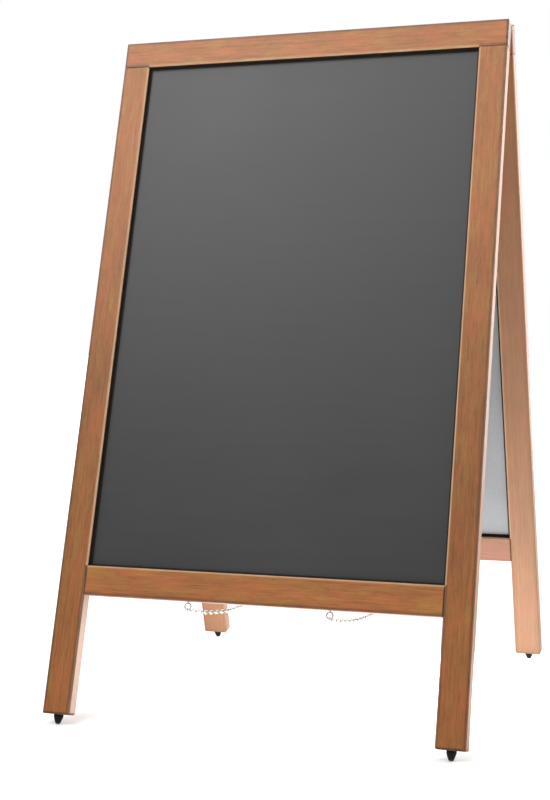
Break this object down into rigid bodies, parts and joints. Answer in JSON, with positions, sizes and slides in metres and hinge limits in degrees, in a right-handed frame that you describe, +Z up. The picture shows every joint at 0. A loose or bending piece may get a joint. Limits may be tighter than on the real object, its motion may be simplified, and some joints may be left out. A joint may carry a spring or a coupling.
{
  "type": "sandwich board",
  "caption": "Folding A-frame chalkboard: two timber-framed black writing panels hinged at the top and tied by two slack chains.",
  "frame": {"origin": "centre of the bounding box on the floor, under the hinge line", "axes": "+X along the hinge line to the front viewer's right, -Y towards the front viewer, +Z up"},
  "size_m": [0.7, 0.705, 1.1603],
  "materials": {
    "timber": "stained hardwood, satin",
    "chalk": "matt chalkboard laminate",
    "backing": "pale grey backing board",
    "black_trim": "black strip",
    "dowel": "plain beech",
    "steel": "zinc plated",
    "bright_steel": "bright zinc wire",
    "chain": "bright zinc wire",
    "hinge_metal": "zinc plated sheet",
    "rubber": "black rubber"
  },
  "bodies": {
    "front_frame": {"front_left_stile": "timber", "front_right_stile": "timber", "front_top_rail": "timber", "front_bottom_rail": "timber", "front_dowels": "dowel", "front_chalk_sheet": "chalk", "front_back_board": "backing", "front_outer_trim": "black_trim", "front_inner_trim": "black_trim", "front_trim_brads": "steel", "front_foot_pins": "steel", "front_hinge_screws": "steel", "front_left_foot": "rubber", "front_right_foot": "rubber", "front_left_screw_eye": "bright_steel", "front_right_screw_eye": "bright_steel", "left_hinge_front_leaf": "hinge_metal", "right_hinge_front_leaf": "hinge_metal", "left_hinge_pin": "hinge_metal", "right_hinge_pin": "hinge_metal"},
    "rear_frame": {"rear_left_stile": "timber", "rear_right_stile": "timber", "rear_top_rail": "timber", "rear_bottom_rail": "timber", "rear_dowels": "dowel", "rear_chalk_sheet": "chalk", "rear_back_board": "backing", "rear_outer_trim": "black_trim", "rear_inner_trim": "black_trim", "rear_trim_brads": "steel", "rear_foot_pins": "steel", "rear_hinge_screws": "steel", "rear_left_foot": "rubber", "rear_right_foot": "rubber", "rear_left_screw_eye": "bright_steel", "rear_right_screw_eye": "bright_steel", "left_hinge_rear_leaf": "hinge_metal", "right_hinge_rear_leaf": "hinge_metal"},
    "left_chain_front_upper": {"left_chain_front_upper": "chain"},
    "left_chain_front_lower": {"left_chain_front_lower": "chain"},
    "left_chain_rear_upper": {"left_chain_rear_upper": "chain"},
    "left_chain_rear_lower": {"left_chain_rear_lower": "chain"},
    "right_chain_front_upper": {"right_chain_front_upper": "chain"},
    "right_chain_front_lower": {"right_chain_front_lower": "chain"},
    "right_chain_rear_upper": {"right_chain_rear_upper": "chain"},
    "right_chain_rear_lower": {"right_chain_rear_lower": "chain"}
  },
  "joints": [
    {"name": "fold", "type": "hinge", "parent": "front_frame", "child": "rear_frame", "pos_m": [0, 0, 1.15622], "axis": [-1, 0, 0], "range_deg": [-0.44, 32], "deforming": ["left_chain_front_upper", "left_chain_front_lower", "left_chain_rear_upper", "left_chain_rear_lower", "right_chain_front_upper", "right_chain_front_lower", "right_chain_rear_upper", "right_chain_rear_lower"]},
    {"name": "left_chain_front_upper_swing", "type": "hinge", "parent": "front_frame", "child": "left_chain_front_upper", "pos_m": [-0.12, -0.29143, 0.18888], "axis": [-1, 0, 0], "range_deg": [-1.59, 80.03]},
    {"name": "left_chain_front_lower_swing", "type": "hinge", "parent": "left_chain_front_upper", "child": "left_chain_front_lower", "pos_m": [-0.12, -0.17368, 0.16284], "axis": [-1, 0, 0], "range_deg": [-1.46, 70.2]},
    {"name": "left_chain_rear_upper_swing", "type": "hinge", "parent": "rear_frame", "child": "left_chain_rear_upper", "pos_m": [-0.12, 0.29143, 0.18888], "axis": [-1, 0, 0], "range_deg": [-136.09, 2.36]},
    {"name": "left_chain_rear_lower_swing", "type": "hinge", "parent": "left_chain_rear_upper", "child": "left_chain_rear_lower", "pos_m": [-0.12, 0.11548, 0.15488], "axis": [-1, 0, 0], "range_deg": [-1.98, 108.27]},
    {"name": "right_chain_front_upper_swing", "type": "hinge", "parent": "front_frame", "child": "right_chain_front_upper", "pos_m": [0.12, -0.29143, 0.18888], "axis": [-1, 0, 0], "range_deg": [-1.59, 80.03]},
    {"name": "right_chain_front_lower_swing", "type": "hinge", "parent": "right_chain_front_upper", "child": "right_chain_front_lower", "pos_m": [0.12, -0.17368, 0.16284], "axis": [-1, 0, 0], "range_deg": [-1.46, 70.2]},
    {"name": "right_chain_rear_upper_swing", "type": "hinge", "parent": "rear_frame", "child": "right_chain_rear_upper", "pos_m": [0.12, 0.29143, 0.18888], "axis": [-1, 0, 0], "range_deg": [-136.09, 2.36]},
    {"name": "right_chain_rear_lower_swing", "type": "hinge", "parent": "right_chain_rear_upper", "child": "right_chain_rear_lower", "pos_m": [0.12, 0.11548, 0.15488], "axis": [-1, 0, 0], "range_deg": [-1.98, 108.27]}
  ],
  "couplings": [
    {"joint": "left_chain_front_upper_swing", "follows": "fold", "ratio": 2.4853},
    {"joint": "left_chain_front_lower_swing", "follows": "fold", "ratio": 2.178},
    {"joint": "left_chain_rear_upper_swing", "follows": "fold", "ratio": -4.2372},
    {"joint": "left_chain_rear_lower_swing", "follows": "fold", "ratio": 3.3678},
    {"joint": "right_chain_front_upper_swing", "follows": "fold", "ratio": 2.4853},
    {"joint": "right_chain_front_lower_swing", "follows": "fold", "ratio": 2.178},
    {"joint": "right_chain_rear_upper_swing", "follows": "fold", "ratio": -4.2372},
    {"joint": "right_chain_rear_lower_swing", "follows": "fold", "ratio": 3.3678}
  ]
}
